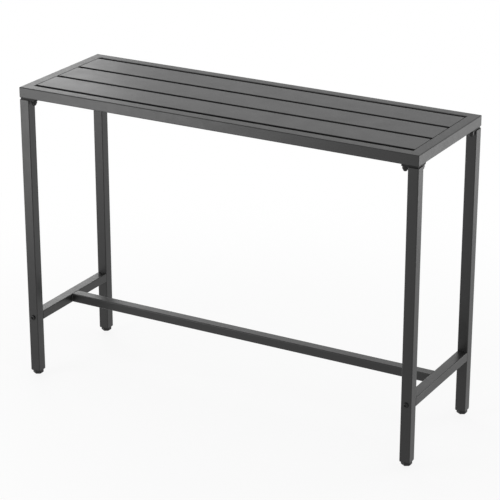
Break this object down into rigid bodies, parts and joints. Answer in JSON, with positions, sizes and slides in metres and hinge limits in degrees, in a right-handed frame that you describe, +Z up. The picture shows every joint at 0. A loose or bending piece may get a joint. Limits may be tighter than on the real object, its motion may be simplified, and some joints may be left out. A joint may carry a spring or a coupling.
{
  "type": "outdoor bar table",
  "caption": "Long narrow bar-height patio table: slatted tube-frame top on square legs with an H-shaped footrest and levelling feet.",
  "frame": {"origin": "on the floor, under the middle of the table", "axes": "+X along the table's length, +Y to its back, +Z up"},
  "size_m": [1.4, 0.461, 1],
  "materials": {
    "frame_coat": "black satin powder coat with a fine texture",
    "slat_coat": "black satin powder coat with a fine texture",
    "black_steel": "black oxide, satin",
    "zinc_steel": "bright zinc plate",
    "black_plastic": "moulded, lightly textured",
    "rubber": "matte"
  },
  "bodies": {
    "table": {"front_rail": "frame_coat", "back_rail": "frame_coat", "left_rail": "frame_coat", "right_rail": "frame_coat", "slat_front": "slat_coat", "slat_middle": "slat_coat", "slat_back": "slat_coat", "cross_bar_left": "frame_coat", "cross_bar_right": "frame_coat", "side_stretcher_left": "frame_coat", "side_stretcher_right": "frame_coat", "long_stretcher": "frame_coat", "leg_front_left": "frame_coat", "leg_plate_front_left": "frame_coat", "leg_plug_front_left": "black_plastic", "leg_front_right": "frame_coat", "leg_plate_front_right": "frame_coat", "leg_plug_front_right": "black_plastic", "leg_back_right": "frame_coat", "leg_plate_back_right": "frame_coat", "leg_plug_back_right": "black_plastic", "leg_back_left": "frame_coat", "leg_plate_back_left": "frame_coat", "leg_plug_back_left": "black_plastic", "plate_studs": "zinc_steel", "plate_washers": "black_steel", "dome_nuts": "black_steel", "stretcher_end_inserts": "zinc_steel", "stretcher_bolts": "black_steel"},
    "front_left_sole": {"foot_sole_front_left": "rubber"},
    "front_left_screw": {"foot_base_front_left": "black_plastic", "foot_stud_front_left": "zinc_steel"},
    "front_right_sole": {"foot_sole_front_right": "rubber"},
    "front_right_screw": {"foot_base_front_right": "black_plastic", "foot_stud_front_right": "zinc_steel"},
    "back_right_sole": {"foot_sole_back_right": "rubber"},
    "back_right_screw": {"foot_base_back_right": "black_plastic", "foot_stud_back_right": "zinc_steel"},
    "back_left_sole": {"foot_sole_back_left": "rubber"},
    "back_left_screw": {"foot_base_back_left": "black_plastic", "foot_stud_back_left": "zinc_steel"}
  },
  "joints": [
    {"name": "front_left_foot_slide", "type": "slide", "parent": "table", "child": "front_left_sole", "axis": [0, 0, -1], "range_m": [0, 0.01]},
    {"name": "front_left_foot_screw", "type": "hinge", "parent": "front_left_sole", "child": "front_left_screw", "pos_m": [-0.6825, -0.2075, 0], "axis": [0, 0, -1], "range_deg": [0, 2880]},
    {"name": "front_right_foot_slide", "type": "slide", "parent": "table", "child": "front_right_sole", "axis": [0, 0, -1], "range_m": [0, 0.01]},
    {"name": "front_right_foot_screw", "type": "hinge", "parent": "front_right_sole", "child": "front_right_screw", "pos_m": [0.6825, -0.2075, 0], "axis": [0, 0, -1], "range_deg": [0, 2880]},
    {"name": "back_right_foot_slide", "type": "slide", "parent": "table", "child": "back_right_sole", "axis": [0, 0, -1], "range_m": [0, 0.01]},
    {"name": "back_right_foot_screw", "type": "hinge", "parent": "back_right_sole", "child": "back_right_screw", "pos_m": [0.6825, 0.2075, 0], "axis": [0, 0, -1], "range_deg": [0, 2880]},
    {"name": "back_left_foot_slide", "type": "slide", "parent": "table", "child": "back_left_sole", "axis": [0, 0, -1], "range_m": [0, 0.01]},
    {"name": "back_left_foot_screw", "type": "hinge", "parent": "back_left_sole", "child": "back_left_screw", "pos_m": [-0.6825, 0.2075, 0], "axis": [0, 0, -1], "range_deg": [0, 2880]}
  ],
  "couplings": [
    {"joint": "front_left_foot_screw", "follows": "front_left_foot_slide", "rad_per_m": 5026.5},
    {"joint": "front_right_foot_screw", "follows": "front_right_foot_slide", "rad_per_m": 5026.5},
    {"joint": "back_right_foot_screw", "follows": "back_right_foot_slide", "rad_per_m": 5026.5},
    {"joint": "back_left_foot_screw", "follows": "back_left_foot_slide", "rad_per_m": 5026.5}
  ]
}
